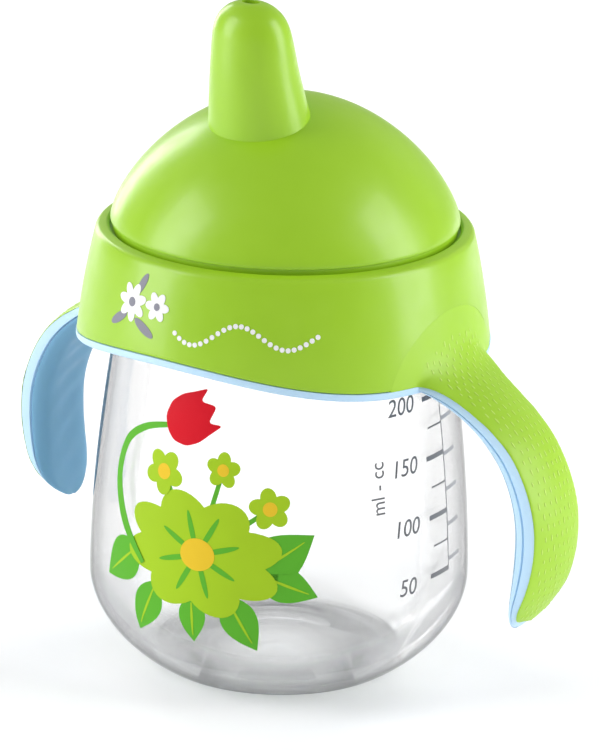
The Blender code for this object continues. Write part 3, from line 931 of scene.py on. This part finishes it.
def settle(bm):
    """Order vertices, edges and faces by place, because cutting leaves them in no fixed order."""
    bm.verts.sort(key=lambda vert: vert.co.dot(SORT_AXIS))
    bm.edges.sort(key=lambda edge: (edge.verts[0].co + edge.verts[1].co).dot(SORT_AXIS))
    bm.faces.sort(key=lambda face: face.calc_center_median().dot(SORT_AXIS))


def wrap(bm, name, surface, turn, height, level, mat, body):
    """Lay flat faces drawn in millimetres on a round wall and give them the thickness of an ink film.

    Local x runs around the wall from the angle turn (degrees from the front towards +X) and local y
    runs up from the given height. Higher levels lie on top of lower ones.
    """
    xs = [v.co.x for v in bm.verts]
    ys = [v.co.y for v in bm.verts]
    for axis, low, high, pitch in ((0, min(xs), max(xs), 0.9), (1, min(ys), max(ys), 2.0)):
        normal = Vector((1.0, 0.0, 0.0)) if axis == 0 else Vector((0.0, 1.0, 0.0))
        cut = math.floor(low / pitch) + 1
        while cut * pitch < high:
            geometry = bm.verts[:] + bm.edges[:] + bm.faces[:]
            place = normal * cut * pitch
            bmesh.ops.bisect_plane(bm, geom=geometry, dist=1e-4, plane_co=place, plane_no=normal)
            cut += 1
    bmesh.ops.remove_doubles(bm, verts=bm.verts, dist=1e-4)
    settle(bm)
    bmesh.ops.triangulate(bm, faces=bm.faces)
    settle(bm)
    bottom = set(bm.verts)
    bmesh.ops.recalc_face_normals(bm, faces=bm.faces)
    bmesh.ops.extrude_face_region(bm, geom=bm.faces[:], use_keep_orig=True)
    base = INK_LIFT + LAYER_STEP * level
    for vert in bm.verts:
        z = height + vert.co.y
        radius = surface(z)
        angle = math.radians(turn) + vert.co.x / surface(height)
        out = radius + base + (0.0 if vert in bottom else INK_FILM)
        vert.co = Vector((out * math.sin(angle), -out * math.cos(angle), z))
    settle(bm)
    finish_piece(new_object(name, bm), mat, body)


def outline_mesh(points):
    """Flat face inside a closed outline."""
    bm = bmesh.new()
    bm.faces.new([bm.verts.new((x, y, 0.0)) for x, y in points])
    return bm


def ellipse(cx, cy, a, b, tilt=0.0, count=48):
    """Outline of a tilted ellipse."""
    ct = math.cos(math.radians(tilt))
    st = math.sin(math.radians(tilt))
    points = []
    for i in range(count):
        u = a * math.cos(math.tau * i / count)
        v = b * math.sin(math.tau * i / count)
        points.append((cx + u * ct - v * st, cy + u * st + v * ct))
    return points


def stroke(path, widths, count=48):
    """Outline of a brush stroke along a smooth path with round ends and changing width."""
    left = []
    right = []
    for i in range(count + 1):
        t = i / count
        x = catmull([p[0] for p in path], t)
        y = catmull([p[1] for p in path], t)
        step = 0.004
        a = max(0.0, t - step)
        b = min(1.0, t + step)
        dx = catmull([p[0] for p in path], b) - catmull([p[0] for p in path], a)
        dy = catmull([p[1] for p in path], b) - catmull([p[1] for p in path], a)
        length = math.hypot(dx, dy)
        half = 0.5 * catmull(widths, t)
        left.append((x - dy / length * half, y + dx / length * half))
        right.append((x + dy / length * half, y - dx / length * half))
    return left + right[::-1]


def petals(cx, cy, count, reach, width, tilt=0.0):
    """Outlines of round petals around a centre."""
    shapes = []
    for i in range(count):
        angle = tilt + 360.0 * i / count
        a = math.radians(angle)
        middle = 0.56 * reach
        shape = ellipse(cx + middle * math.cos(a), cy + middle * math.sin(a), 0.46 * reach, width, angle, 28)
        shapes.append(shape)
    return shapes


def scallop(cx, cy, a, b, lobes, depth, tilt):
    """Outline of an ellipse with rounded lobes."""
    points = []
    ct = math.cos(math.radians(tilt))
    st = math.sin(math.radians(tilt))
    count = 12 * lobes
    for i in range(count):
        t = math.tau * i / count
        k = 1.0 - depth * (1.0 - abs(math.sin(0.5 * lobes * t)))
        u = a * k * math.cos(t)
        v = b * k * math.sin(t)
        points.append((cx + u * ct - v * st, cy + u * st + v * ct))
    return points


def tulip(cx, cy, size, tilt):
    """Outline of a tulip head with three tips, opening along the tilted axis."""
    half = [(0.0, -1.0), (0.42, -0.9), (0.74, -0.5), (0.80, 0.0)]
    half += [(0.70, 0.5), (0.62, 1.0), (0.36, 0.55), (0.0, 1.05)]
    path = half + [(-x, y) for x, y in half[-2:0:-1]]
    ct = math.cos(math.radians(tilt))
    st = math.sin(math.radians(tilt))
    soft = fillet([(x * size, y * size, 0.16 * size) for x, y in path], 3)
    return [(cx + x * ct - y * st, cy + x * st + y * ct) for x, y in soft]


def ink_on_cup(bm, name, turn, height, level, mat):
    """Lay one print on the cup's wall; the painted reflection of the scale's ticks is laid the same way."""
    wrap(bm, name, body_outer, turn, height, level, mat, "cup")


def print_on_cup(name, outlines, level, mat):
    """One ink colour of the cup's picture."""
    for i, outline in enumerate(outlines):
        ink_on_cup(outline_mesh(outline), f"{name}_{i + 1}", PICTURE_TURN, PICTURE_Z, level, mat)


def tip_point(leaf, k):
    """Point on a leaf's midrib."""
    cx, cy, length, _, tilt = leaf
    return (cx + k * length * math.cos(math.radians(tilt)), cy + k * length * math.sin(math.radians(tilt)))


def blade(cx, cy, length, width, tilt):
    """Outline of a pointed leaf growing from (cx, cy) in the tilted direction."""
    right = [(length * i / 12, width * math.sin(math.pi * (i / 12) ** 0.8)) for i in range(1, 12)]
    path = [(0.0, 0.0)] + right + [(length, 0.0)] + [(x, -y) for x, y in right[::-1]]
    ct = math.cos(math.radians(tilt))
    st = math.sin(math.radians(tilt))
    return [(cx + x * ct - y * st, cy + x * st + y * ct) for x, y in path]


def build_picture():
    """Garden picture on the front of the cup: a lime bloom among leaves, three blossoms and a red tulip."""
    centre = (2.0, 0.4)
    leaves = ((-12.0, -1.0, 13.0, 4.4, 222.0), (12.0, -3.0, 15.5, 4.8, 34.0), (-7.0, -7.0, 12.0, 3.4, 248.0))
    leaves += ((8.0, -7.0, 12.5, 3.6, 300.0), (1.0, -8.0, 9.5, 2.8, 274.0), (14.0, -2.0, 12.5, 3.6, -22.0))
    print_on_cup("print_leaf", [blade(*leaf) for leaf in leaves], 0, INK_GREEN)
    ribs = []
    for leaf in leaves:
        ribs.append(stroke([tip_point(leaf, k) for k in (0.15, 0.5, 0.85)], [0.3, 0.5, 0.15], 10))
    print_on_cup("print_leaf_rib", ribs, 1, INK_LIME)
    print_on_cup("print_bloom", [scallop(*centre, 17.4, 12.2, 8, 0.22, -6.0)], 2, INK_LIME)
    print_on_cup("print_bloom_ring", petals(*centre, 8, 8.6, 0.55, 16.5), 3, INK_GREEN)
    print_on_cup("print_bloom_heart", [ellipse(*centre, 3.6, 3.2)], 4, INK_SUN)
    blossoms = ((-6.6, 15.2, 4.6, 20.0), (6.6, 17.6, 3.6, 50.0), (16.2, 10.8, 4.2, -8.0))
    for i, (cx, cy, size, tilt) in enumerate(blossoms):
        halfway = (0.5 * (cx + centre[0]), 0.5 * (cy + centre[1]))
        stalk = stroke([centre, halfway, (cx, cy)], [1.0, 1.0, 0.9], 16)
        print_on_cup(f"print_blossom_stalk_{i + 1}", [stalk], 1, INK_GREEN)
        print_on_cup(f"print_blossom_{i + 1}", [scallop(cx, cy, size, size, 5, 0.34, tilt)], 5, INK_LIME)
        heart = ellipse(cx, cy, 0.34 * size, 0.34 * size, 0.0, 24)
        print_on_cup(f"print_blossom_heart_{i + 1}", [heart], 6, INK_SUN)
    bend = [(-5.5, 24.6), (-12.6, 22.6), (-18.0, 18.4), (-19.6, 11.0), (-16.6, 3.0), (-10.5, -4.0)]
    stem = stroke(bend, [1.0, 1.4, 1.7, 1.9, 2.0, 1.0], 60)
    print_on_cup("print_tulip_stem", [stem], 7, INK_GREEN)
    print_on_cup("print_tulip", [tulip(-1.2, 26.6, 6.2, -62.0)], 8, INK_RED)


def text_mesh(text, size, squeeze, slant):
    """Flat letters, centred, from the built-in font."""
    curve = bpy.data.curves.new("letters", "FONT")
    curve.body = text
    curve.size = size
    curve.shear = slant
    curve.align_x = "CENTER"
    curve.align_y = "CENTER"
    curve.resolution_u = 5
    obj = bpy.data.objects.new("letters", curve)
    bpy.context.scene.collection.objects.link(obj)
    graph = bpy.context.evaluated_depsgraph_get()
    mesh = bpy.data.meshes.new_from_object(obj.evaluated_get(graph))
    bm = bmesh.new()
    bm.from_mesh(mesh)
    bpy.data.objects.remove(obj)
    bpy.data.meshes.remove(mesh)
    for vert in bm.verts:
        vert.co.x *= squeeze
    return bm


def box_outline(left, right, low, high):
    """Outline of an upright rectangle."""
    return [(left, low), (right, low), (right, high), (left, high)]


def build_scale():
    """Volume scale: a fine line with thick and thin ticks, a row of pale grey ticks painted as the
    reflection of the scale on the inner wall, numbers and the unit.
    """
    marks = [box_outline(-SCALE_LINE_HALF, SCALE_LINE_HALF, -SCALE_END, SCALE_LINE_TOP)]
    for i in range(7):
        half, reach = TICK_LIGHT if i % 2 else TICK_HEAVY
        z = SCALE_PITCH * 0.5 * i
        marks.append(box_outline(reach, 0.0, z - half, z + half))
    for i, mark in enumerate(marks):
        ink_on_cup(outline_mesh(mark), f"print_scale_mark_{i + 1}", SCALE_TURN, SCALE_FIRST_Z, 0, INK_GREY)
    # Painted reflection: pale grey ticks standing for the scale's ticks mirrored on the inner wall.
    for i in range(5):
        tick = outline_mesh(box_outline(0.3, 5.0, -0.40, 0.40))
        z = REFLECTED_TICKS_Z + REFLECTED_TICKS_PITCH * i
        ink_on_cup(tick, f"painted_reflected_tick_{i + 1}", SCALE_TURN, z, 0, PAINTED_TICK_REFLECTION)
    for i in range(4):
        volume = 50 * (i + 1)
        number = text_mesh(str(volume), 4.8, 0.94, 0.16)
        ink_on_cup(number, f"print_number_{volume}", NUMBER_TURN, NUMBER_Z + NUMBER_PITCH * i, 0, INK_GREY)
    unit = text_mesh("ml - cc", 4.3, 0.9, 0.0)
    bmesh.ops.rotate(unit, verts=unit.verts, matrix=Matrix.Rotation(math.pi / 2, 3, "Z"))
    ink_on_cup(unit, "print_unit", UNIT_TURN, UNIT_Z, 0, INK_GREY)


def print_on_collar(name, outlines, level, mat, turn, height):
    """One ink colour of the collar's trim."""
    for i, outline in enumerate(outlines):
        label = f"{name}_{i + 1}"
        wrap(outline_mesh(outline), label, collar_outer, turn, height, level, mat, "collar")


def build_collar_trim():
    """A sprig of two white daisies with dark leaves on the collar and a wavy dotted line beside it."""
    place = (TRIM_TURN, TRIM_Z)
    leaves = [ellipse(-6.6, -2.9, 2.6, 0.9, 35.0), ellipse(0.4, -3.4, 2.8, 0.9, -28.0)]
    leaves.append(ellipse(-1.4, 4.6, 2.4, 0.8, 62.0))
    print_on_collar("trim_leaf", leaves, 0, INK_SLATE, *place)
    print_on_collar("trim_daisy", petals(-3.4, 0.8, 7, 3.7, 0.95, 18.0), 1, INK_WHITE, *place)
    print_on_collar("trim_daisy_small", petals(3.1, 1.2, 6, 2.8, 0.85, 0.0), 1, INK_WHITE, *place)
    hearts = [ellipse(-3.4, 0.8, 0.9, 0.9), ellipse(3.1, 1.2, 0.7, 0.7)]
    print_on_collar("trim_daisy_heart", hearts, 2, INK_SLATE, *place)
    for i in range(TRIM_DOTS):
        k = i / (TRIM_DOTS - 1)
        run = 4.6 + 41.0 * k
        height = 77.4 + 2.5 * math.sin(math.tau * (1.5 * k + 0.55)) * (1.0 - 0.3 * k)
        dot = ellipse(0.0, 0.0, 0.48, 0.48, 0.0, 18)
        print_on_collar(f"trim_dot_{i + 1}", [dot], 0, INK_WHITE, run, height)


# ---------------------------------------------------------------- stage

def build_floor():
    """Pale light-table floor with a faint mottling."""
    mesh = bpy.data.meshes.new("floor")
    half = 2.2
    corners = [(-half, -half, 0.0), (half, -half, 0.0), (half, half, 0.0), (-half, half, 0.0)]
    mesh.from_pydata(corners, [], [(0, 1, 2, 3)])
    floor = bpy.data.objects.new("floor", mesh)
    bpy.context.scene.collection.objects.link(floor)
    mat = plastic("floor_paper", (0.93, 0.93, 0.93), (0.925, 0.925, 0.93), 0.6, 300.0, 0.01)
    shader = mat.node_tree.nodes["Principled BSDF"]
    shader.inputs["Specular IOR Level"].default_value = 0.15
    shader.inputs["Emission Color"].default_value = (1.0, 1.0, 1.0, 1.0)
    shader.inputs["Emission Strength"].default_value = 0.17
    mesh.materials.append(mat)


def area_light(name, azimuth, box, mirrored=True):
    """Softbox aimed at the cup's middle; azimuth is measured from the front towards +X.

    With mirrored off it lights the cup but shows in no reflection and through no clear wall.
    """
    elevation, size, power = box
    data = bpy.data.lights.new(name, "AREA")
    data.shape = "RECTANGLE"
    data.size = size[0]
    data.size_y = size[1]
    data.energy = power
    obj = bpy.data.objects.new(name, data)
    bpy.context.scene.collection.objects.link(obj)
    a = math.radians(azimuth)
    e = math.radians(elevation)
    middle = Vector((0.0, 0.0, 0.07))
    direction = Vector((math.sin(a) * math.cos(e), -math.cos(a) * math.cos(e), math.sin(e)))
    obj.location = middle + direction * LIGHT_DISTANCE
    obj.rotation_euler = direction.to_track_quat("Z", "Y").to_euler()
    obj.visible_glossy = mirrored
    obj.visible_transmission = mirrored


def build_light():
    """Two tall softboxes beside the camera, two narrow ones behind and a pale room."""
    area_light("softbox_left", -44.0, FRONT_BOX)
    area_light("softbox_right", 116.0, FRONT_BOX)
    area_light("rim_left", -112.0, REAR_BOX)
    area_light("rim_right", 178.0, REAR_BOX, mirrored=False)
    world = bpy.data.worlds.new("room")
    bpy.context.scene.world = world
    world.use_nodes = True
    tree = world.node_tree
    back = tree.nodes["Background"]
    coords = tree.nodes.new("ShaderNodeTexCoord")
    split = tree.nodes.new("ShaderNodeSeparateXYZ")
    ramp = tree.nodes.new("ShaderNodeValToRGB")
    tree.links.new(coords.outputs["Generated"], split.inputs["Vector"])
    tree.links.new(split.outputs["Z"], ramp.inputs["Fac"])
    tree.links.new(ramp.outputs["Color"], back.inputs["Color"])
    ramp.color_ramp.elements[0].position = 0.0
    ramp.color_ramp.elements[0].color = (0.75, 0.75, 0.76, 1.0)
    ramp.color_ramp.elements[1].position = 0.7
    ramp.color_ramp.elements[1].color = (1.0, 1.0, 1.0, 1.0)
    back.inputs["Strength"].default_value = 0.45


def build_camera():
    """Long lens above and to the right of the front, at the photograph's viewing angle."""
    azimuth = math.radians(CAMERA_AZIMUTH)
    heading = math.radians(CAMERA_AZIMUTH - CAMERA_SWING)
    pitch = math.radians(CAMERA_PITCH)
    level = math.cos(pitch)
    forward = Vector((-math.sin(heading) * level, math.cos(heading) * level, -math.sin(pitch)))
    right = Vector((math.cos(heading), math.sin(heading), 0.0))
    up = right.cross(forward)
    turn = Matrix.Rotation(-math.radians(CAMERA_ROLL), 3, forward)
    right = turn @ right
    up = turn @ up
    data = bpy.data.cameras.new("camera")
    data.sensor_width = 36.0
    data.lens = CAMERA_LENS
    data.clip_start = 0.05
    camera = bpy.data.objects.new("camera", data)
    bpy.context.scene.collection.objects.link(camera)
    spin = Matrix((right, up, -forward)).transposed().to_4x4()
    place = (math.sin(azimuth) * CAMERA_REACH, -math.cos(azimuth) * CAMERA_REACH, CAMERA_HEIGHT)
    camera.matrix_world = Matrix.Translation(place) @ spin
    bpy.context.scene.camera = camera


build_camera()
build_floor()
build_light()
build_cup()
build_lid()
build_collar()
build_picture()
build_scale()
build_collar_trim()
for node, mat in (("lid_seal_ring", SEAL), ("valve_base", VALVE), ("valve_membrane", MEMBRANE)):
    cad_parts[node].data.materials.clear()
    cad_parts[node].data.materials.append(mat)

view = bpy.context.scene.view_settings
view.view_transform = "Standard"
view.look = "None"
